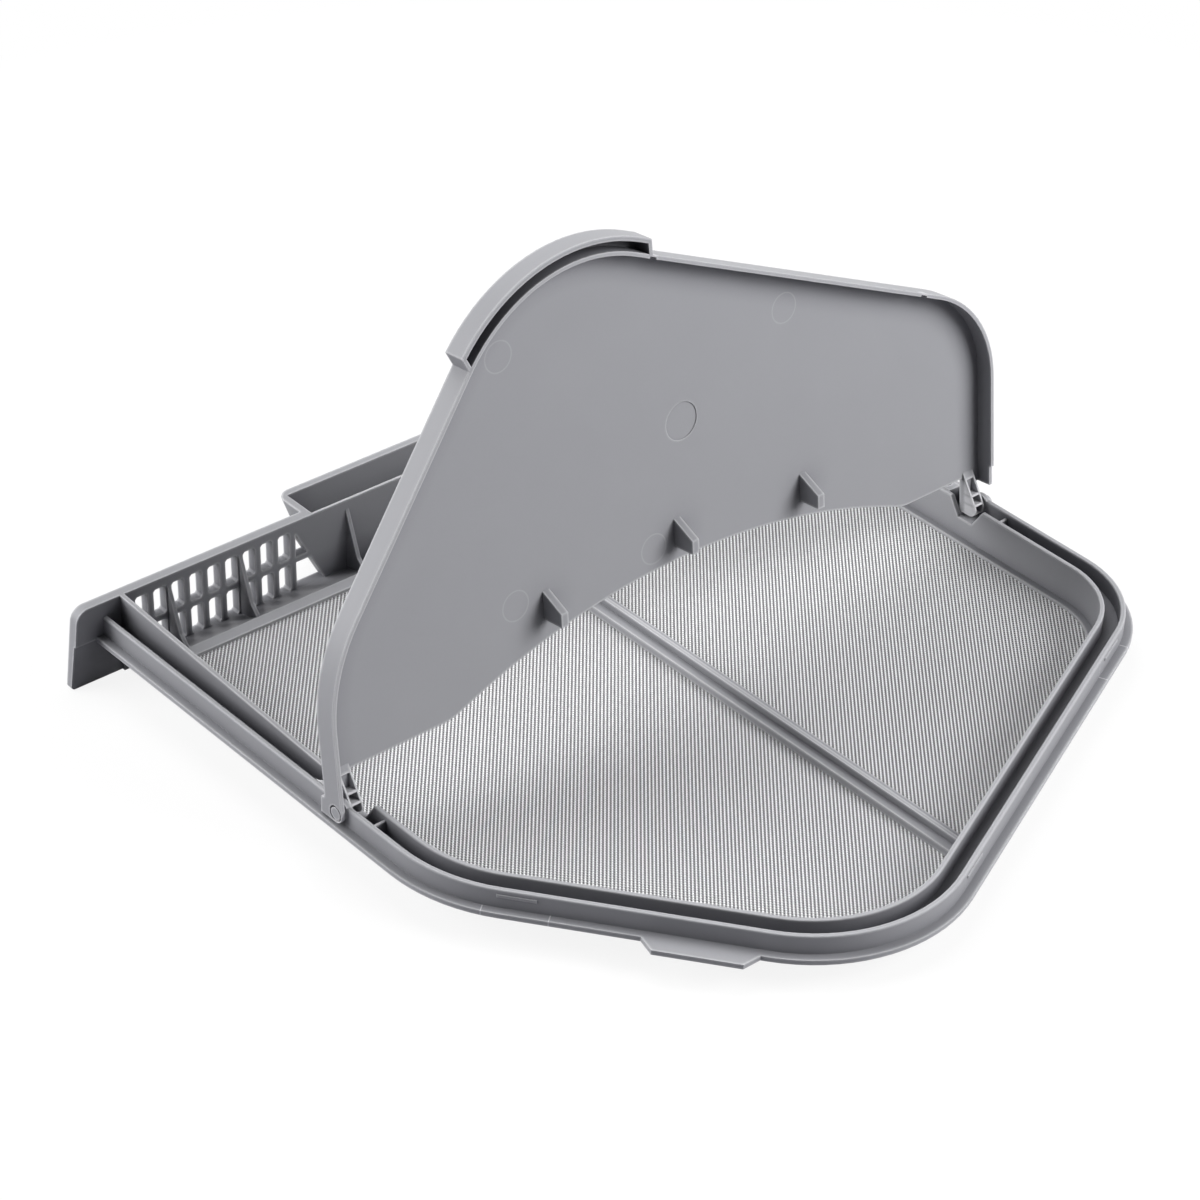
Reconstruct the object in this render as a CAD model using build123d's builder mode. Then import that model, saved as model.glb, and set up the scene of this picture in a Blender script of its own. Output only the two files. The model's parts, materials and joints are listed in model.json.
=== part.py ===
import os

from build123d import *

# Plan of the tray: the inner face of the front wall is the line y = 0, the rounded end is behind it
half_width = 125.0  # outer wall, either side of the middle
left_side = 154.1  # front wall to the bend in the left side
right_side = 178.8  # front wall to the right rear corner
rear_x = -47.8  # rear corner, across
rear_depth = 255.4  # front wall to the rear corner before rounding
bend_radius = 50.0
rear_radius = 48.0
right_radius = 35.0

# Double rim, heights from the top of the ledge
wall_thick = 1.6
wall_top = 5.9
ledge_out = 2.7
ledge_thick = 1.5
channel_wide = 4.7
rim_thick = 1.5
rim_top = 6.1
edge_round = 0.4
basket_deep = 8.4
border_wide = 2.4
border_thick = 1.0
cloth_thick = 0.5
cloth_recess = 0.5  # cloth above the foot of the basket

# Front wall and its handle pocket
front_half = 136.8  # at the foot
front_slant = 3.2  # each end leans in by this much on the way up
front_top = 10.8
front_drop = 15.4
front_thick = 3.4
front_lean = 0.8  # the top stands this much further out than the foot
front_corner = 4.5
foot_corner = 1.2
foot_step = 1.1
brow_deep = 95.0  # run of the side walls' raised edge
pocket_wall = 0.9  # left of the front wall behind the pocket, at the top
handle_half = 51.0
handle_reach = 16.5
handle_taper = 10.0  # each side leans in by this much on the way down
handle_wall = 2.6
handle_floor = 1.6
handle_round = 4.5

# Grille in the front wall and the floor in front of it
cell_count = 9
cell_pitch = 6.47
cell_wide = 4.4
cell_upper = 9.4
cell_lower = 9.4
cell_bridge = 1.9
cell_top = 7.7
cell_corner = 0.7
cell_margin = 3.6  # inner wall to the first cell
cell_slant_x = 51.9  # slanted end of the grille at ledge height
cell_slant = 0.53  # lean of that end, across for each mm down
ramp_run = 12.5
ramp_hollow = 1.3
strip_wide = 4.5
gusset_thick = 1.3
gusset_top = 8.0
gusset_run = 5.0
gusset_knee = 7.0  # below the top of the ledge, where the edge begins to flare
gusset_toe = 0.6  # share of the ramp that the foot covers
gusset_outer = 1.5  # pitches from the first cell
gusset_inner = 5.5
gusset_middle = 35.7  # from the middle of the filter

# Centre bar over the cloth
bar_x = 5.0
bar_wide = 7.8
bar_high = 2.4
bar_rib = 1.4
bar_rib_high = 2.1

# Hinge of the lid: trunnions in eyes of the outer wall
hinge_back = 112.2
hinge_up = 3.5
pin_radius = 2.0
pin_clear = 0.08
eye_wall = 1.42
arm_gap = 0.3
arm_floor_gap = 1.1
arm_reach = 11.5
arm_heel = 1.9  # top of the arm, ahead of the hinge
arm_skin = 0.6
arm_core = 9.2  # hollow of the arm, back from the hinge
arm_web_low = 1.5  # thin webs across the hollow, back from the hinge
arm_web_high = 4.4
open_angle = 97.5
stop_front = 13.2  # groove end, ahead of the hinge
stop_long = 4.6
rib_back = 11.4
rib_high = 4.2
rib_wide = 0.8
notch_wide = 13.4
notch_foot = 5.8

# Thumb tab on the ledge and snap beads on the outer wall
tab_start = 55.6
tab_long = 32.0
tab_out = 4.7
tab_slant = 3.7
bead_out = 0.25
bead_high = 0.9
bead_up = 4.0
bead_side = 21.5
bead_rear = 45.0
bead_corner = 158.5
bead_long = 11.0

# Lid, drawn as it lies closed
lid_gap = 0.6
lid_play = 0.3
flange_thick = 1.2
flange_edge = 0.7
plate_thick = 1.4
lid_front = 6.7  # hinge to the front end of the flange
step_long = 6.5  # the right flange is lower along its last stretch
step_high = 0.8
ear_front = 6.4  # ear of the left flange, ahead of the hinge when open
ear_high = 2.4
ear_fillet = 1.2
ear_ring = 0.5  # gap round the end of the pin
plate_front = 9.7
plate_corner = 1.0
arch_half = 88.0
arch_rise = 16.5
arch_round = 14.0
arch_crown = 228.8
lip_gap = 2.9
lip_thick = 1.4
lip_side = 38.5  # along the left slant, back from the rear corner
lip_rear = 45.5  # along the rear side from the rear corner
lip_slant = 3.0
lip_end = 1.4
lip_window_reach = 1.5  # the window for the lip goes this many times past it
fin_high = 7.8
fin_long = 8.8
fin_top = 4.3
fin_thick = 2.5
fin_x = 2.6
fin_back = 27.6
fin_pitch = 49.4
fin_arch = 4.0  # the middle fin stands further back
catch_long = 2.5
catch_high = 2.0
mark_x = 6.0
mark_radius = 5.8
mark_deep = 0.2
mark_back = 70.0

# Weave of the cloth
weave_pitch = 3.86
weave_count = 60
ridge_wide = 1.1
ridge_high = 0.2
slit_wide = 0.9
slit_margin = 1.6
slit_split = 122.0

inner_out = wall_thick + channel_wide
inner_in = inner_out + rim_thick
border_in = inner_in + border_wide
strip_back = ramp_run + strip_wide
cloth_low = cloth_recess - basket_deep
cloth_top = cloth_low + cloth_thick
border_top = cloth_top + border_thick
hinge_y = -hinge_back
eye_radius = pin_radius + pin_clear + eye_wall
plate_under = rim_top + lid_play
plate_top = plate_under + plate_thick
flange_out = lid_gap + flange_thick
lip_out = flange_out + lip_gap + lip_thick
arm_wide = channel_wide - 2 * arm_gap
arm_outer = half_width - wall_thick - arm_gap
arm_round = hinge_up - arm_floor_gap
ear_round = hinge_up - flange_edge

start = Vector(-half_width, 0)
bend = Vector(-half_width, -left_side)
rear = Vector(rear_x, -rear_depth)
corner = Vector(half_width, -right_side)
finish = Vector(half_width, 0)


def outwards(first, second):
    """Unit normal of a side of the plan, pointing away from the tray."""
    return (second - first).normalized().rotate(Axis.Z, -90)


def moved(before, point, after, grow):
    """Corner of the plan after both its sides have moved out by grow."""
    one = outwards(before, point)
    two = outwards(point, after)
    return point + (one + two) * (grow / (1 + one.dot(two)))


def rim(grow, end=front_lean):
    """Edges of the tray's plan, grown by grow and closed along y = end."""
    with BuildLine() as path:
        run = FilletPolyline(
            (-half_width - grow, end),
            moved(start, bend, rear, grow),
            moved(bend, rear, corner, grow),
            moved(rear, corner, finish, grow),
            (half_width + grow, end),
            radius=(bend_radius + grow, rear_radius + grow, right_radius + grow),
        )
        Line(run @ 1, run @ 0)
    return path.edges()


def lip_window(inset):
    """Part of the plan that holds the finger lip, its slanting ends drawn in by inset."""
    one = (bend - rear).normalized()
    two = (corner - rear).normalized()
    first = rear + one * (lip_side - inset)
    second = rear + two * (lip_rear - inset)
    with BuildLine() as path:
        Polyline(
            first,
            first + (outwards(bend, rear) * lip_out - one * lip_slant) * lip_window_reach,
            rear + (outwards(bend, rear) + outwards(rear, corner)) * lip_out,
            second + (outwards(rear, corner) * lip_out - two * lip_slant) * lip_window_reach,
            second,
            close=True,
        )
    return path.edges()


with BuildSketch() as extent:
    make_face(rim(ledge_out))
rear_end = extent.sketch.bounding_box().min.Y

# The origin is under the middle of the whole filter
tray = Plane(origin=(0, -(rear_end + handle_reach) / 2, front_drop))
front = Plane(origin=tray.origin, x_dir=(-1, 0, 0), z_dir=(0, 1, 0))
closed_hinge = Plane(origin=tray.from_local_coords((0, hinge_y, hinge_up)))
open_hinge = closed_hinge.rotated((-open_angle, 0, 0))
lid_origin = open_hinge.from_local_coords((0, hinge_back, -hinge_up))
lid_tray = Plane(origin=lid_origin, x_dir=open_hinge.x_dir, z_dir=open_hinge.z_dir)


def upright(base, x):
    """Plane across the width at x: first axis to the front, second axis up."""
    return Plane(origin=base.from_local_coords((x, 0, 0)), x_dir=base.y_dir, z_dir=base.x_dir)


def along(base, first, second):
    """Plane on a straight side of the plan: first axis along it, second axis into the tray."""
    return Plane(
        origin=base.from_local_coords(first),
        x_dir=base.from_local_coords(second) - base.from_local_coords(first),
        z_dir=base.z_dir,
    )


with BuildPart() as frame:
    # Ledge and channel floor
    with BuildSketch(tray.offset(-ledge_thick)):
        make_face(rim(ledge_out))
        make_face(rim(-inner_in), mode=Mode.SUBTRACT)
    extrude(amount=ledge_thick)

    # Outer wall of the rim, its top edges rounded
    with BuildSketch(tray):
        make_face(rim(0))
        make_face(rim(-wall_thick), mode=Mode.SUBTRACT)
    extrude(amount=wall_top)
    fillet(frame.faces().sort_by(Axis.Z)[-1].edges().sort_by(Axis.Y)[:-2], radius=edge_round)

    # Inner wall, which is also the side of the basket
    with BuildSketch(tray.offset(-basket_deep)):
        make_face(rim(-inner_out))
        make_face(rim(-inner_in), mode=Mode.SUBTRACT)
    extrude(amount=basket_deep + rim_top)
    fillet(frame.faces().sort_by(Axis.Z)[-1].edges().sort_by(Axis.Y)[:-2], radius=edge_round)

    # Border over the edge of the cloth, wider at the front
    with BuildSketch(tray.offset(cloth_top)):
        make_face(rim(-inner_out - rim_thick / 2, -ramp_run))
        make_face(rim(-border_in, -strip_back), mode=Mode.SUBTRACT)
    extrude(amount=border_thick)

    # Front wall, leaning out a little, its ends slanted
    with BuildSketch(upright(tray, 0)):
        with BuildLine():
            Polyline(
                (0, -front_drop),
                (front_lean, front_top),
                (front_lean + front_thick, front_top),
                (front_thick, -front_drop),
                close=True,
            )
        make_face()
    extrude(amount=front_half, both=True)
    with BuildSketch(front):
        for side in (-1, 1):
            with BuildLine():
                Polyline(
                    (side * front_half, -front_drop),
                    (side * (front_half - front_slant), front_top),
                    (side * front_half, front_top),
                    close=True,
                )
            make_face()
    extrude(amount=front_lean + front_thick, mode=Mode.SUBTRACT)
    fillet(frame.edges().filter_by(Axis.Y).group_by(Axis.Z)[-1], radius=front_corner)
    fillet(frame.edges().filter_by(Axis.Y).group_by(Axis.Z)[0], radius=foot_corner)

    # The wall's ends are thinner below the ledge
    with BuildSketch(front):
        for side in (-1, 1):
            with BuildLine():
                Polyline(
                    (side * (half_width - inner_out), -front_drop),
                    (side * front_half, -front_drop),
                    (side * front_half, -ledge_thick / 2),
                    (side * (half_width + ledge_out), -ledge_thick / 2),
                    (side * (half_width + ledge_out), -ledge_thick),
                    (side * (half_width - inner_out), -ledge_thick),
                    close=True,
                )
            make_face()
    extrude(amount=foot_step, mode=Mode.SUBTRACT)

    # Handle pocket, narrower at the bottom
    with BuildSketch(front.offset(front_lean)):
        with BuildLine():
            Polyline(
                (-handle_half, front_top),
                (-handle_half + handle_taper, -front_drop),
                (handle_half - handle_taper, -front_drop),
                (handle_half, front_top),
                close=True,
            )
        make_face()
    extrude(amount=handle_reach - front_lean)
    fillet(frame.faces().sort_by(Axis.Y)[-1].edges().sort_by(Axis.Z)[1:-1], radius=handle_round)
    with BuildSketch(front.offset(front_lean + pocket_wall)):
        with BuildLine():
            Polyline(
                (-handle_half + handle_wall, front_top),
                (-handle_half + handle_taper + handle_wall, handle_floor - front_drop),
                (handle_half - handle_taper - handle_wall, handle_floor - front_drop),
                (handle_half - handle_wall, front_top),
                close=True,
            )
        make_face()
    extrude(amount=handle_reach - front_lean - pocket_wall - handle_wall, mode=Mode.SUBTRACT)

    # Grille: two rows of cells on either side, cut off on the slant of the handle pocket
    upper_low = cell_top - cell_upper
    lower_top = upper_low - cell_bridge
    lower_low = lower_top - cell_lower
    first = half_width - inner_in - cell_margin - cell_wide / 2
    last = first - (cell_count - 1) * cell_pitch
    end_x = last - cell_pitch + cell_wide / 2
    with BuildSketch(front) as cells:
        with Locations((-(first + last) / 2, 0), ((first + last) / 2, 0)):
            with GridLocations(cell_pitch, 0, cell_count, 1):
                with Locations((0, cell_top - cell_upper / 2)):
                    Rectangle(cell_wide, cell_upper)
                with Locations((0, lower_top - cell_lower / 2)):
                    Rectangle(cell_wide, cell_lower)
        chamfer(cells.vertices(), length=cell_corner)
        for side in (-1, 1):
            with BuildLine():
                Polyline(
                    (side * end_x, upper_low),
                    (side * end_x, (end_x - cell_slant_x) / cell_slant),
                    (side * (cell_slant_x + cell_slant * upper_low), upper_low),
                    close=True,
                )
            make_face()
            with BuildLine():
                Polyline(
                    (side * end_x, lower_top),
                    (side * (cell_slant_x + cell_slant * lower_top), lower_top),
                    (side * (cell_slant_x + cell_slant * lower_low), lower_low),
                    (side * end_x, lower_low),
                    close=True,
                )
            make_face()
    extrude(amount=front_lean + front_thick, mode=Mode.SUBTRACT)

    # Raised edges of the side walls, falling from the front wall
    for side in (-1, 1):
        with BuildSketch(upright(tray, side * (half_width - inner_out - rim_thick / 2))):
            with BuildLine():
                Polyline(
                    (front_lean, 0),
                    (front_lean, front_top),
                    (-brow_deep, rim_top),
                    (-brow_deep, 0),
                    close=True,
                )
            make_face()
        extrude(amount=rim_thick / 2, both=True)

    # Hollow ramp from the foot of the grille up to the border
    with BuildSketch(upright(tray, 0)):
        with BuildLine():
            slope = SagittaArc((0, lower_low), (-ramp_run, border_top), ramp_hollow)
            Line((-ramp_run, border_top), (-ramp_run - border_thick, border_top))
            Line((-ramp_run - border_thick, border_top), (-ramp_run - border_thick, cloth_top))
            Line((-ramp_run - border_thick, cloth_top), (-ramp_run, cloth_top))
            SagittaArc((-ramp_run, cloth_top), (0, lower_low - border_thick), -ramp_hollow)
            Line((0, lower_low - border_thick), (front_lean, lower_low - border_thick))
            Line((front_lean, lower_low - border_thick), (front_lean, lower_low))
            Line((front_lean, lower_low), (0, lower_low))
        make_face()
    extrude(amount=half_width - inner_out - rim_thick / 2, both=True)

    # Gussets from the wall down to the ramp, three on either side
    bar_one = first - gusset_outer * cell_pitch
    bar_two = first - gusset_inner * cell_pitch
    toe = slope @ gusset_toe
    for x in (-bar_one, -bar_two, -gusset_middle, gusset_middle, bar_two, bar_one):
        with BuildSketch(upright(tray, x)):
            with BuildLine():
                Polyline(
                    (front_lean, gusset_top),
                    (-gusset_run, -gusset_knee),
                    (toe.X, toe.Y),
                    (toe.X, toe.Y - border_thick / 2),
                    (0, lower_low - border_thick / 2),
                    (front_lean, lower_low - border_thick / 2),
                    close=True,
                )
            make_face()
        extrude(amount=gusset_thick / 2, both=True)

    # Centre bar with its rib
    with BuildSketch(tray.offset(cloth_top)):
        with Locations((bar_x, -(strip_back - strip_wide / 2 + rear_depth) / 2)):
            Rectangle(bar_wide, rear_depth - strip_back + strip_wide / 2)
        make_face(rim(-inner_out - rim_thick / 2), mode=Mode.INTERSECT)
    extrude(amount=bar_high)
    with BuildSketch(tray.offset(cloth_top)):
        with Locations((bar_x, -(strip_back + bar_rib + rear_depth) / 2)):
            Rectangle(bar_rib, rear_depth - strip_back - bar_rib)
        make_face(rim(-inner_out - rim_thick / 2), mode=Mode.INTERSECT)
    extrude(amount=bar_high + bar_rib_high)

    # Hinge eyes, groove ends, ribs and notches on both sides
    for side in (-1, 1):
        outer = upright(tray, side * (half_width - wall_thick / 2))
        channel = upright(tray, side * (half_width - wall_thick - channel_wide / 2))
        inner = upright(tray, side * (half_width - inner_out - rim_thick / 2))
        with BuildSketch(channel):
            with Locations((hinge_y + stop_front - stop_long / 2, rim_top / 2)):
                Rectangle(stop_long, rim_top)
            with Locations((hinge_y - rib_back, rib_high / 2)):
                Rectangle(rib_wide, rib_high)
        extrude(amount=channel_wide / 2, both=True)
        with BuildSketch(tray):
            with Locations((side * (half_width - wall_thick - channel_wide / 2), hinge_y + stop_front)):
                Circle(channel_wide / 2)
        extrude(amount=front_top, mode=Mode.SUBTRACT)
        with BuildSketch(inner):
            with BuildLine():
                Polyline(
                    (hinge_y - notch_wide / 2, front_top),
                    (hinge_y - notch_wide / 2, rim_top),
                    (hinge_y - notch_foot / 2, 0),
                    (hinge_y + notch_foot / 2, 0),
                    (hinge_y + notch_wide / 2, rim_top),
                    (hinge_y + notch_wide / 2, front_top),
                    close=True,
                )
            make_face()
        extrude(amount=rim_thick / 2, both=True, mode=Mode.SUBTRACT)
        with BuildSketch(outer):
            with Locations((hinge_y, hinge_up)):
                Circle(eye_radius)
        extrude(amount=wall_thick / 2, both=True)
        with BuildSketch(outer):
            with Locations((hinge_y, hinge_up)):
                Circle(pin_radius + pin_clear)
        extrude(amount=wall_thick, both=True, mode=Mode.SUBTRACT)

    # Thumb tab
    with BuildSketch(along(tray.offset(-ledge_thick), bend, rear)):
        with BuildLine():
            Polyline(
                (tab_start, 0),
                (tab_start, -ledge_out),
                (tab_start + tab_slant, -ledge_out - tab_out),
                (tab_start + tab_long - tab_slant, -ledge_out - tab_out),
                (tab_start + tab_long, -ledge_out),
                (tab_start + tab_long, 0),
                close=True,
            )
        make_face()
    extrude(amount=ledge_thick)

    # Snap beads
    beads = ((bend, rear, bead_side), (rear, corner, bead_rear), (rear, corner, bead_corner))
    for first_end, second_end, place in beads:
        with BuildSketch(along(tray.offset(bead_up - bead_high / 2), first_end, second_end)):
            with Locations((place, (wall_thick / 2 - bead_out) / 2)):
                Rectangle(bead_long, wall_thick / 2 + bead_out)
        extrude(amount=bead_high)

with BuildPart() as mesh:
    # Cloth, stretched under the border and the centre bar
    with BuildSketch(tray.offset(cloth_low)):
        make_face(rim(-inner_in - cloth_thick / 2, -ramp_run - 2 * border_thick))
    extrude(amount=cloth_thick)
    with BuildSketch(tray.offset(cloth_top)):
        with Locations((0, -rear_depth / 2)):
            with GridLocations(weave_pitch, 0, weave_count, 1):
                Rectangle(ridge_wide, rear_depth)
        make_face(rim(-border_in - ridge_wide, -strip_back - ridge_wide), mode=Mode.INTERSECT)
        with Locations((bar_x, -rear_depth / 2)):
            Rectangle(bar_wide + ridge_wide, rear_depth, mode=Mode.SUBTRACT)
    extrude(amount=ridge_high)
    with BuildSketch(tray.offset(cloth_low)):
        with Locations((0, -rear_depth / 2)):
            with GridLocations(weave_pitch, 0, weave_count - 1, 1):
                Rectangle(slit_wide, rear_depth)
        make_face(rim(-border_in - slit_margin, -strip_back - slit_margin), mode=Mode.INTERSECT)
        with Locations((0, -slit_split)):
            Rectangle(2 * half_width, 2 * slit_margin, mode=Mode.SUBTRACT)
        with Locations((bar_x, -rear_depth / 2)):
            Rectangle(bar_wide + slit_margin, rear_depth, mode=Mode.SUBTRACT)
    extrude(amount=2 * cloth_thick, mode=Mode.SUBTRACT)

with BuildPart() as lid:
    # Plate, its hinge side cut away in an arch
    with BuildSketch(lid_tray.offset(plate_under)):
        make_face(rim(flange_out, hinge_y - lid_front))
        with BuildLine():
            FilletPolyline(
                (-arm_outer + arm_wide, 0),
                (-arm_outer + arm_wide, hinge_y - plate_front),
                (bar_x - arch_half, hinge_y - plate_front),
                (bar_x, hinge_y - plate_front - 2 * arch_rise),
                (bar_x + arch_half, hinge_y - plate_front),
                (arm_outer - arm_wide, hinge_y - plate_front),
                (arm_outer - arm_wide, 0),
                radius=(plate_corner, arch_round, arch_crown, arch_round, plate_corner),
            )
            Line((arm_outer - arm_wide, 0), (-arm_outer + arm_wide, 0))
        make_face(mode=Mode.SUBTRACT)
    extrude(amount=plate_thick)

    # Flange that goes over the outer wall of the tray
    with BuildSketch(lid_tray.offset(flange_edge)):
        make_face(rim(flange_out, hinge_y - lid_front))
        make_face(rim(lid_gap, hinge_y - lid_front), mode=Mode.SUBTRACT)
    extrude(amount=plate_top - flange_edge)
    with BuildSketch(upright(lid_tray, half_width)):
        with Locations((hinge_y - lid_front - step_long / 2, flange_edge + step_high / 2)):
            Rectangle(step_long, step_high)
    extrude(amount=flange_out, mode=Mode.SUBTRACT)

    # Ear at the end of the left flange, beside the hinge and just above the ledge
    with BuildSketch(upright(tray, -half_width - lid_gap)) as ear:
        with Locations((hinge_y + ear_front / 2, hinge_up + (ear_high - ear_round) / 2)):
            Rectangle(ear_front, ear_high + ear_round)
        with Locations(Location((hinge_y, hinge_up, 0), (0, 0, -open_angle))):
            with Locations((-(lid_front + flange_thick) / 2, (plate_top + flange_edge) / 2 - hinge_up)):
                Rectangle(lid_front + flange_thick, plate_top - flange_edge)
        inside = (hinge_y + plate_top - hinge_up, hinge_up + ear_high)
        fillet(ear.vertices().sort_by_distance(inside)[0], radius=ear_fillet)
        with Locations((hinge_y, hinge_up)):
            Circle(ear_round)
            Circle(pin_radius + ear_ring, mode=Mode.SUBTRACT)
    extrude(amount=-flange_thick)

    # Finger lip round the rear corner, hollow and open below
    with BuildSketch(lid_tray.offset(flange_edge)):
        make_face(rim(lip_out, hinge_y - lid_front))
        make_face(rim(lid_gap + flange_thick / 2, hinge_y - lid_front), mode=Mode.SUBTRACT)
        make_face(lip_window(0), mode=Mode.INTERSECT)
    extrude(amount=plate_top - flange_edge)
    with BuildSketch(lid_tray.offset(flange_edge)):
        make_face(rim(lip_out - lip_thick, hinge_y - lid_front))
        make_face(rim(flange_out, hinge_y - lid_front), mode=Mode.SUBTRACT)
        make_face(lip_window(lip_end), mode=Mode.INTERSECT)
    extrude(amount=plate_under - flange_edge, mode=Mode.SUBTRACT)

    # Catches in the flange beside the rear snap beads
    with BuildSketch(along(lid_tray.offset(flange_edge), rear, corner)):
        with Locations((bead_rear, -lid_gap), (bead_corner, -lid_gap)):
            Rectangle(catch_long, flange_thick)
    extrude(amount=catch_high, mode=Mode.SUBTRACT)

    # Fins on the inner face
    for place in (-1, 0, 1):
        root = hinge_y - fin_back - fin_arch * (1 - abs(place))
        with BuildSketch(upright(lid_tray, fin_x + place * fin_pitch)):
            with BuildLine():
                Polyline(
                    (root, plate_under + plate_thick / 2),
                    (root, plate_under - fin_high),
                    (root - fin_top, plate_under - fin_high),
                    (root - fin_long, plate_under),
                    (root - fin_long, plate_under + plate_thick / 2),
                    close=True,
                )
            make_face()
        extrude(amount=fin_thick / 2, both=True)

    # Round mark left by the mould
    with BuildSketch(lid_tray.offset(plate_under)):
        with Locations((mark_x, hinge_y - mark_back)):
            Circle(mark_radius)
    extrude(amount=mark_deep, mode=Mode.SUBTRACT)

    # Hinge arms with cored undersides, and the trunnions that turn in the eyes
    for side in (-1, 1):
        middle = side * (arm_outer - arm_wide / 2)
        with BuildSketch(upright(lid_tray, middle)):
            with BuildLine():
                CenterArc((hinge_y, hinge_up), arm_round, 0, 360)
                Line((hinge_y - arm_reach, plate_under), (hinge_y - arm_reach, plate_top))
                Line((hinge_y - arm_reach, plate_top), (hinge_y + arm_heel, plate_top))
            make_hull()
        extrude(amount=arm_wide / 2, both=True)
        with BuildSketch(lid_tray):
            with Locations((middle, hinge_y + (arm_round - arm_skin - arm_core) / 2)):
                Rectangle(arm_wide - 2 * arm_skin, arm_round - arm_skin + arm_core)
            with Locations((middle, hinge_y - arm_web_low), (middle, hinge_y - arm_web_high)):
                Rectangle(arm_wide, arm_skin, mode=Mode.SUBTRACT)
        extrude(amount=plate_under - arm_skin, mode=Mode.SUBTRACT)
        with BuildSketch(upright(lid_tray, side * (arm_outer - arm_skin))):
            with Locations((hinge_y, hinge_up)):
                Circle(pin_radius)
        extrude(amount=side * (arm_skin + arm_gap + wall_thick + flange_out))

part_names = {"frame": frame, "mesh": mesh, "lid": lid}
os.makedirs("parts", exist_ok=True)
for name, build in part_names.items():
    build.part.label = name
    export_step(build.part, f"parts/{name}.step")
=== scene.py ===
import json
import math

import bmesh
import bpy
from mathutils import Matrix, Vector


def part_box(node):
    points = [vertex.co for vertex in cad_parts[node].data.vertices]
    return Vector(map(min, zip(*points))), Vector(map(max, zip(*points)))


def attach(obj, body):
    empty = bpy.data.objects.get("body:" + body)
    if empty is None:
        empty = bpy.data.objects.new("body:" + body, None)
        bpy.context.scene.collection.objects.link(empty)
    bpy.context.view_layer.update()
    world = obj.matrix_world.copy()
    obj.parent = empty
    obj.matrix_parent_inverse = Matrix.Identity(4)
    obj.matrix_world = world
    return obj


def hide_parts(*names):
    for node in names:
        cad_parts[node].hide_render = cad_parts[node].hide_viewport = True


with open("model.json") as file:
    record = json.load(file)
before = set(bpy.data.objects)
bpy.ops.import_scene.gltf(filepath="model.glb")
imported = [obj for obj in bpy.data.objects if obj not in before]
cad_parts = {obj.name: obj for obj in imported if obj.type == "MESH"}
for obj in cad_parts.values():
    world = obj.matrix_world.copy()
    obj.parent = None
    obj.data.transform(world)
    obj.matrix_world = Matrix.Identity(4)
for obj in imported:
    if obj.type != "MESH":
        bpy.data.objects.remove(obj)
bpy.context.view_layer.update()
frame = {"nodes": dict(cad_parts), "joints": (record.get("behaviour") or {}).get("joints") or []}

# Tray frame: one injection moulding in grey plastic, with its double rim, front wall and grille.
# The mould leaves a satin skin with a fine grain and small rounds, and its inserts leave fine lines.
# Its colour has painted shade in its recesses and painted highlights on its edges and on those lines.
mm = 0.001
half_width = 125.0 * mm
left_side = 154.1 * mm
right_side = 178.8 * mm
rear_corner = (-47.8 * mm, 255.4 * mm)
handle_reach = 16.5 * mm
front_wall_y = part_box("frame")[1][1] - handle_reach
plan = [
    Vector((x, front_wall_y - back))
    for x, back in (
        (-half_width, 0),
        (-half_width, left_side),
        rear_corner,
        (half_width, right_side),
        (half_width, 0),
    )
]
plastic_light = (0.345, 0.347, 0.365, 1.0)
plastic_dark = (0.311, 0.313, 0.331, 1.0)
plastic_painted_highlight = (0.75, 0.75, 0.77, 1.0)
plastic_painted_shade = (0.11, 0.11, 0.125, 1.0)
rim_depth = 0.8 * mm
recess_reach = 10.0 * mm
plastic_edge = 0.35 * mm
edge_samples = 4
cloud_scale = 28.0
grain_scale = 1500.0
grain_share = 0.3
grain_depth = 0.05 * mm
grain_strength = 0.25
line_show = 0.5
line_height = 3.0
plastic_roughness = 0.36
roughness_spread = 0.12
plastic_gloss = 0.15
bead_beyond_bend = 21.5 * mm
bead_beyond_rear = 158.5 * mm
seam_from_bead = 9.25 * mm
seam_half = 0.15 * mm
ledge_half = 1.5 * mm


class Value:
    """A socket of a material; an expression on such values adds Math nodes to that material."""

    def __init__(self, paint, socket):
        self.paint = paint
        self.socket = socket

    def maths(self, operation, *terms):
        return self.paint.add("ShaderNodeMath", {"operation": operation}, dict(enumerate(terms)))

    def __add__(self, other):
        return self.maths("ADD", self, other)

    def __radd__(self, other):
        return self.maths("ADD", other, self)

    def __sub__(self, other):
        return self.maths("SUBTRACT", self, other)

    def __rsub__(self, other):
        return self.maths("SUBTRACT", other, self)

    def __mul__(self, other):
        return self.maths("MULTIPLY", self, other)

    def __rmul__(self, other):
        return self.maths("MULTIPLY", other, self)

    def cosine(self):
        return self.maths("COSINE", self)

    def sine(self):
        return self.maths("SINE", self)

    def either(self, other):
        return self.maths("MAXIMUM", self, other)

    def near(self, middle, reach):
        """1 within reach of the middle, 0 elsewhere."""
        return self.maths("COMPARE", self, middle, reach)


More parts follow.
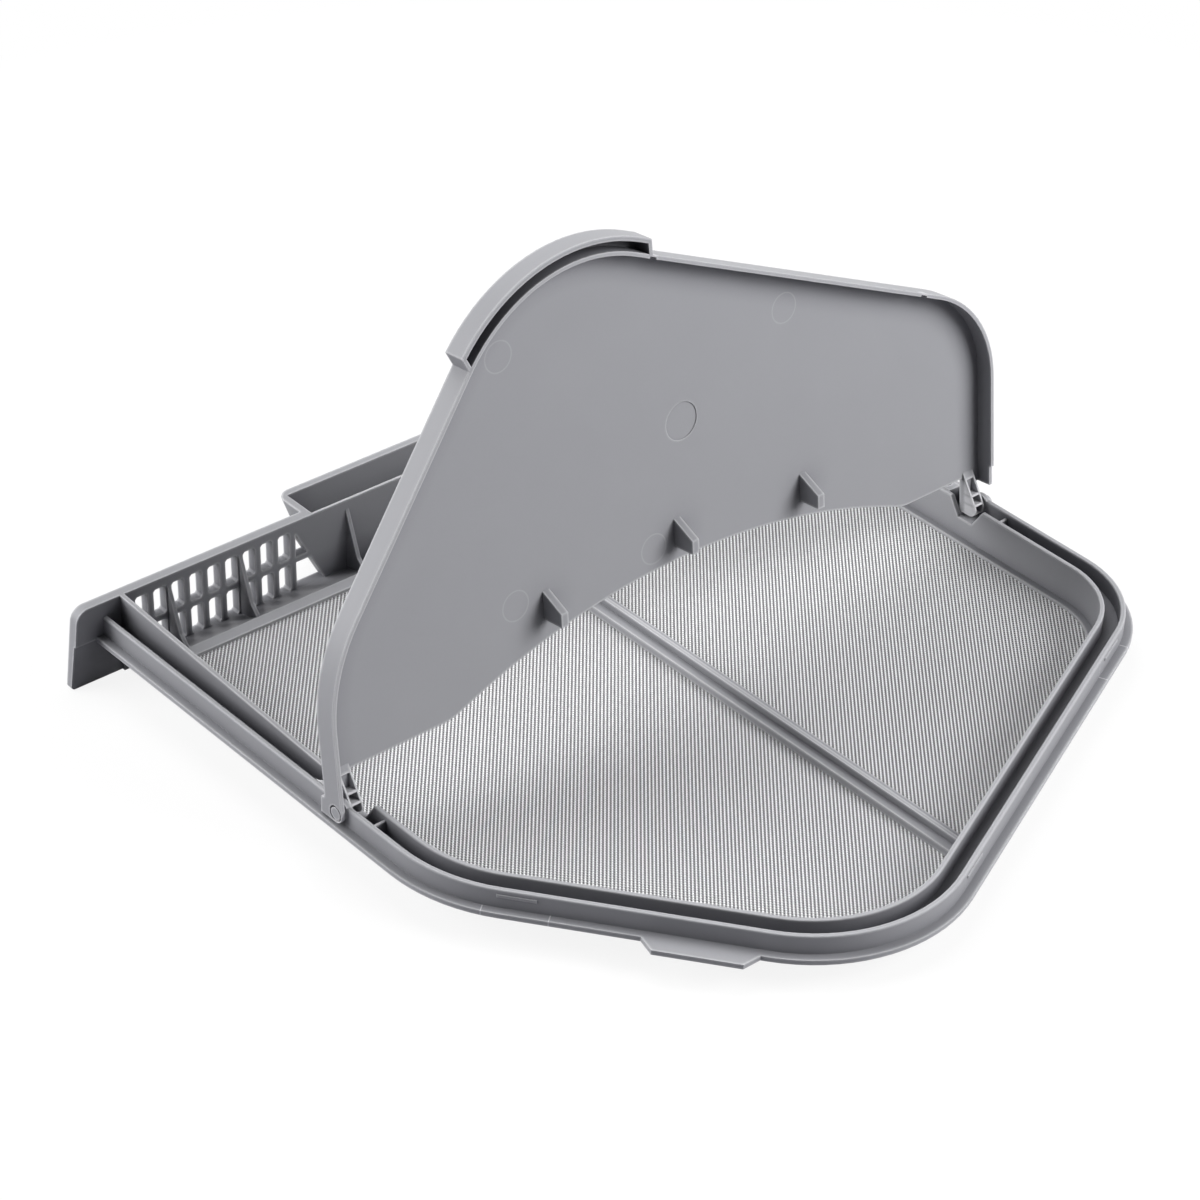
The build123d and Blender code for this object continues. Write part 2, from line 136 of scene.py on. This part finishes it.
class Paint:
    """The nodes of a material or of the world, and the one method that adds a node to them."""

    def __init__(self, owner):
        owner.use_nodes = True
        self.owner = owner
        self.tree = owner.node_tree

    def add(self, kind, settings=None, sockets=None, output=0):
        node = self.tree.nodes.new(kind)
        for name, setting in (settings or {}).items():
            setattr(node, name, setting)
        for name, value in (sockets or {}).items():
            self.put(node.inputs[name], value)
        return Value(self, node.outputs[output])

    def put(self, socket, value):
        if isinstance(value, Value):
            self.tree.links.new(value.socket, socket)
        else:
            socket.default_value = value

    def finish(self, node, sockets):
        for name, value in sockets.items():
            self.put(self.tree.nodes[node].inputs[name], value)

    def place(self):
        return self.add("ShaderNodeTexCoord", output="Object")

    def measure(self, operation, vector):
        """A number from the place on the piece and a given vector."""
        return self.add(
            "ShaderNodeVectorMath", {"operation": operation}, {0: self.place(), 1: vector}, output="Value"
        )

    def blend(self, share, first, second):
        """The first colour, turning into the second as the share grows."""
        return self.add("ShaderNodeMix", {"data_type": "RGBA"}, {0: share, 6: first, 7: second}, output=2)


def moulded_plastic(paint, lines):
    """Satin grey plastic: cloudy tone, fine grain, painted shade in recesses, and painted highlights on
    edges and on the moulded lines.
    """
    place = paint.place()
    cloud = paint.add("ShaderNodeTexNoise", {}, {"Vector": place, "Scale": cloud_scale, "Detail": 3.0})
    grain = paint.add("ShaderNodeTexNoise", {}, {"Vector": place, "Scale": grain_scale, "Detail": 2.0})
    backing = paint.add(
        "ShaderNodeAmbientOcclusion",
        {"inside": True, "only_local": True, "samples": edge_samples},
        {"Distance": rim_depth},
        output="AO",
    )
    opening = paint.add(
        "ShaderNodeAmbientOcclusion",
        {"only_local": True, "samples": edge_samples},
        {"Distance": recess_reach},
        output="AO",
    )
    tone = paint.blend(cloud * (1 - grain_share) + grain * grain_share, plastic_dark, plastic_light)
    # Painted shade: the colour darkens in the piece's own recesses, where little of the open sky is seen.
    tone = paint.blend(opening, plastic_painted_shade, tone)
    # Painted highlight: edges and thin walls turn pale, and so do the moulded lines, which are real marks.
    tone = paint.blend(1.0 - backing + lines * line_show, tone, plastic_painted_highlight)
    edge = paint.add("ShaderNodeBevel", {"samples": edge_samples}, {"Radius": plastic_edge})
    skin = paint.add(
        "ShaderNodeBump",
        {},
        {
            "Strength": grain_strength,
            "Distance": grain_depth,
            "Height": grain + lines * line_height,
            "Normal": edge,
        },
    )
    paint.finish(
        "Principled BSDF",
        {
            "Base Color": tone,
            "Roughness": plastic_roughness + cloud * roughness_spread,
            "Specular IOR Level": plastic_gloss,
            "Normal": skin,
        },
    )


def insert_seams(paint):
    """Lines across the outer wall and the ledge, on both sides of two of the snap beads."""
    seams = 0
    for corner, bead in ((1, bead_beyond_bend), (2, bead_beyond_rear)):
        run = (plan[corner + 1] - plan[corner]).normalized()
        out = Vector((run.y, -run.x))
        along = paint.measure("DOT_PRODUCT", run.to_3d())
        aside = paint.measure("DOT_PRODUCT", out.to_3d())
        outside = aside.near(plan[corner].dot(out) + ledge_half, ledge_half)
        for side in (-1, 1):
            line = along.near(plan[corner].dot(run) + bead + side * seam_from_bead, seam_half)
            seams = seams + line * outside
    return seams


frame_plastic = Paint(bpy.data.materials.new("frame_plastic"))
# The seams are real lines, painted pale as their highlight, with a bump as well.
moulded_plastic(frame_plastic, insert_seams(frame_plastic))
frame["nodes"]["frame"].data.materials.clear()
frame["nodes"]["frame"].data.materials.append(frame_plastic.owner)


# Filter cloth: a plain weave of pale synthetic wires, stretched flat.
# It is welded under the border of the basket and under the centre bar.
corner_radii = (50.0 * mm, 48.0 * mm, 35.0 * mm)
cloth_inset = 8.05 * mm
cloth_front = 14.5 * mm
cloth_low, cloth_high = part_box("mesh")
wire_across = 0.69 * mm
wire_along = 0.79 * mm
wire_radius = 0.19 * mm
wire_sides = 6
wire_rise = 0.46 * mm
wire_top = cloth_low[2] + wire_rise
wire_painted_highlight = (0.90, 0.90, 0.91, 1.0)
wire_shade = (0.09, 0.09, 0.095, 1.0)
wire_contrast = 1.3
wire_slant = 0.6
wire_wave = 0.15 * mm
wire_wave_strength = 0.6
wire_roughness = 0.5
wire_gloss = 0.25
corner_steps = 5
blank_half = 2 * half_width


def cloth_sides():
    """Point and outward normal of each cut along the edge of the cloth."""
    normals = []
    for first, second in zip(plan, plan[1:]):
        run = (second - first).normalized()
        normals.append(Vector((run.y, -run.x)))
    sides = [(Vector((0, front_wall_y - cloth_front)), Vector((0, 1)))]
    for point, normal in zip(plan, normals):
        sides.append((point - normal * cloth_inset, normal))
    for corner, radius in enumerate(corner_radii, start=1):
        one, two = normals[corner - 1], normals[corner]
        middle = plan[corner] - (one + two) * (radius / (1 + one.dot(two)))
        for step in range(1, corner_steps):
            lean = one.lerp(two, step / corner_steps).normalized()
            sides.append((middle + lean * (radius - cloth_inset), lean))
    return sides


def cut_to_plan(cloth):
    """Trim a mesh that is larger than the cloth to the cloth's outline."""
    for point, normal in cloth_sides():
        bmesh.ops.bisect_plane(
            cloth,
            geom=cloth.verts[:] + cloth.edges[:] + cloth.faces[:],
            plane_co=point.to_3d(),
            plane_no=normal.to_3d(),
            clear_outer=True,
        )


def new_piece(name, shape, materials):
    """An object at the origin with the given mesh."""
    data = bpy.data.meshes.new(name)
    shape.to_mesh(data)
    shape.free()
    for material in materials:
        data.materials.append(material)
    piece = bpy.data.objects.new(name, data)
    bpy.context.scene.collection.objects.link(piece)
    return piece


def woven_wire(name, sign):
    """Wire of the cloth, straight, with the weave painted in its colour: a painted highlight where the
    wires along the filter come up, painted shade where those across do.
    """
    paint = Paint(bpy.data.materials.new(name))
    x, y = (
        paint.add("ShaderNodeSeparateXYZ", {}, {"Vector": paint.place()}, output=axis) for axis in (0, 1)
    )
    across, along = x * (math.pi / wire_across), y * (math.pi / wire_along)
    over = across.cosine() * along.cosine() + across.sine() * along.sine() * wire_slant
    # Painted highlight and painted shade: the knuckles of the weave are lit and its dips shaded in the
    # colour.
    tone = paint.blend(0.5 + over * wire_contrast, wire_shade, wire_painted_highlight)
    wave = paint.add(
        "ShaderNodeBump",
        {},
        {"Strength": wire_wave_strength, "Distance": wire_wave, "Height": over * sign},
    )
    paint.finish(
        "Principled BSDF",
        {"Base Color": tone, "Roughness": wire_roughness, "Specular IOR Level": wire_gloss, "Normal": wave},
    )
    return paint.owner


blank = bmesh.new()
bmesh.ops.create_grid(blank, x_segments=1, y_segments=1, size=blank_half)
cut_to_plan(blank)
cloth_area = sum(face.calc_area() for face in blank.faces)
blank.free()

weave = bmesh.new()
wire_turn = Matrix.Rotation(math.pi / wire_sides, 4, "Z")
for across, pitch in ((True, wire_across), (False, wire_along)):
    low, high = (cloth_low[0], cloth_high[0]) if across else (cloth_low[1], cloth_high[1])
    lie = Matrix.Rotation(math.radians(90), 4, "X" if across else "Y")
    first = math.ceil((low + wire_radius) / pitch)
    last = math.floor((high - wire_radius) / pitch)
    for number in range(first, last + 1):
        if across:
            seat = Vector((number * pitch, 0, wire_top - wire_radius))
        else:
            seat = Vector((0, number * pitch, wire_top - wire_radius))
        wire = bmesh.ops.create_cone(
            weave,
            cap_ends=True,
            segments=wire_sides,
            radius1=wire_radius,
            radius2=wire_radius,
            depth=2 * blank_half,
            matrix=Matrix.Translation(seat) @ lie @ wire_turn,
        )
        for face in {face for point in wire["verts"] for face in point.link_faces}:
            face.material_index = 0 if across else 1
cut_to_plan(weave)
bmesh.ops.holes_fill(weave, edges=[edge for edge in weave.edges if edge.is_boundary], sides=0)
bmesh.ops.recalc_face_normals(weave, faces=weave.faces[:])
warp = woven_wire("warp_wire", 1)
weft = woven_wire("weft_wire", -1)
cloth = new_piece("filter_cloth", weave, (warp, weft))
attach(cloth, "tray")
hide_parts("mesh")


# Lid: a second moulding in the same grey plastic, a plate with a flange round its edge.
# It snaps into eyes of the tray's outer wall on two trunnions, and stands open, leaning back a little.
# The pins that pushed it out of the mould have left faint rings on its inner face.
hinge = Vector(frame["joints"][0]["pos_m"])
lid_lean = math.radians(7.5)
face_from_hinge = 2.9 * mm
face_reach = 0.4 * mm
ejector_radius = 4.6 * mm
ejector_line = 0.2 * mm
ejector_show = 0.25
ejectors = (
    (-57.8 * mm, 35.7 * mm),
    (-6.6 * mm, 33.8 * mm),
    (46.6 * mm, 91.4 * mm),
    (-57.7 * mm, 112.0 * mm),
)


def ejector_rings(paint):
    """Rings on the inner face, each placed across the lid and up from the hinge."""
    turn = Matrix.Rotation(-lid_lean, 3, "X")
    depth = turn @ Vector((0, 1, 0))
    inner = paint.measure("DOT_PRODUCT", depth).near(hinge.dot(depth) + face_from_hinge, face_reach)
    rings = 0
    for across, up in ejectors:
        middle = hinge + turn @ Vector((across, face_from_hinge, up))
        rings = rings + paint.measure("DISTANCE", middle).near(ejector_radius, ejector_line)
    return rings * inner


lid_plastic = Paint(bpy.data.materials.new("lid_plastic"))
# The rings are real marks, painted pale as their highlight, with a bump; like the frame, the lid's colour
# has painted shade in recesses and painted highlights on edges.
moulded_plastic(lid_plastic, ejector_rings(lid_plastic) * ejector_show)
frame["nodes"]["lid"].data.materials.clear()
frame["nodes"]["lid"].data.materials.append(lid_plastic.owner)


# Table top: a plain pale surface, on which the front wall's foot and the basket's far end rest.
# The filter leans on those two, so the surface slopes a little in the filter's own frame.
# It keeps the soft shadow near the filter and turns to plain white further out.
floor_pale = (0.95, 0.95, 0.95, 1.0)
floor_grey = (0.25, 0.25, 0.28, 1.0)
floor_white = 0.88
floor_white_from = 500.0 * mm
floor_roughness = 0.9
floor_half = 3.0
basket_rise = 7.0 * mm
basket_end = 240.0 * mm
floor_turn = Matrix.Rotation(-math.atan2(basket_rise, basket_end), 4, "X")
floor_shape = bmesh.new()
bmesh.ops.create_grid(
    floor_shape,
    x_segments=1,
    y_segments=1,
    size=floor_half,
    matrix=Matrix.Translation((0, front_wall_y, 0)) @ floor_turn,
)


def seen_white(paint):
    """1 for the rays that show the background: those of the camera, of gloss and of glass."""
    camera_ray, gloss_ray, glass_ray = (
        paint.add("ShaderNodeLightPath", output=ray)
        for ray in ("Is Camera Ray", "Is Glossy Ray", "Is Transmission Ray")
    )
    return camera_ray.either(gloss_ray).either(glass_ray)


floor_paint = Paint(bpy.data.materials.new("pale_floor"))
seen = seen_white(floor_paint)
tone = floor_paint.blend(seen, floor_grey, floor_pale)
floor_paint.finish(
    "Principled BSDF",
    {"Base Color": tone, "Roughness": floor_roughness, "Specular IOR Level": 0.0},
)
lit = Value(floor_paint, floor_paint.tree.nodes["Principled BSDF"].outputs[0])
white = floor_paint.add("ShaderNodeEmission", {}, {"Color": (1, 1, 1, 1), "Strength": 1.0})
far = floor_paint.measure("DISTANCE", (0, 0, 0)) * (1 / floor_white_from)
shown = floor_paint.add("ShaderNodeMixShader", {}, {0: seen * far.either(floor_white), 1: lit, 2: white})
floor_paint.finish("Material Output", {"Surface": shown})
floor = new_piece("floor", floor_shape, (floor_paint.owner,))


# Studio: a dim room that looks white, with a lamp at the right rear, one at the left front and one above.
# Each lamp is a large square panel that faces the filter.
room_light = 0.02
panel_side = 1.0
lamps = {
    "right_panel": ((0.82, -0.97, 0.79), 28.0),
    "left_panel": ((-1.04, 0.87, 0.63), 22.0),
    "top_panel": ((0.16, 0.61, 1.36), 13.0),
}
room = Paint(bpy.data.worlds.new("studio_room"))
bpy.context.scene.world = room.owner
room.finish("Background", {"Color": (1, 1, 1, 1), "Strength": room_light})
dim = Value(room, room.tree.nodes["Background"].outputs[0])
white = room.add("ShaderNodeBackground", {}, {"Color": (1, 1, 1, 1), "Strength": 1.0})
shown = room.add("ShaderNodeMixShader", {}, {0: seen_white(room), 1: dim, 2: white})
room.finish("World Output", {"Surface": shown})
for name, (place, power) in lamps.items():
    panel = bpy.data.lights.new(name, "AREA")
    panel.size = panel_side
    panel.energy = power
    lamp = bpy.data.objects.new(name, panel)
    lamp.location = place
    lamp.rotation_euler = (-Vector(place)).to_track_quat("-Z", "Y").to_euler()
    bpy.context.scene.collection.objects.link(lamp)
bpy.context.scene.view_settings.view_transform = "Standard"


# Camera: a long lens on the left, a little over a metre away, looking down on the rounded end.
# Its place is given from the middle of the filter's width, its front wall and its lowest point.
eye = Vector((-608.9 * mm, front_wall_y - 747.3 * mm, 638.5 * mm))
heading = math.radians(47.805)
dip = math.radians(34.489)
roll = math.radians(2.335)
image_width = 1200
focal_pixels = 3703.586
forward = Vector((math.cos(heading) * math.cos(dip), math.sin(heading) * math.cos(dip), -math.sin(dip)))
level = Vector((math.sin(heading), -math.cos(heading), 0))
upward = level.cross(forward)
right = level * math.cos(roll) + upward * math.sin(roll)
top = upward * math.cos(roll) - level * math.sin(roll)
lens = bpy.data.cameras.new("camera")
lens.sensor_fit = "HORIZONTAL"
lens.lens = focal_pixels / image_width * lens.sensor_width
camera = bpy.data.objects.new("camera", lens)
camera.matrix_world = Matrix.Translation(eye) @ Matrix((right, top, -forward)).transposed().to_4x4()
bpy.context.scene.collection.objects.link(camera)
bpy.context.scene.camera = camera
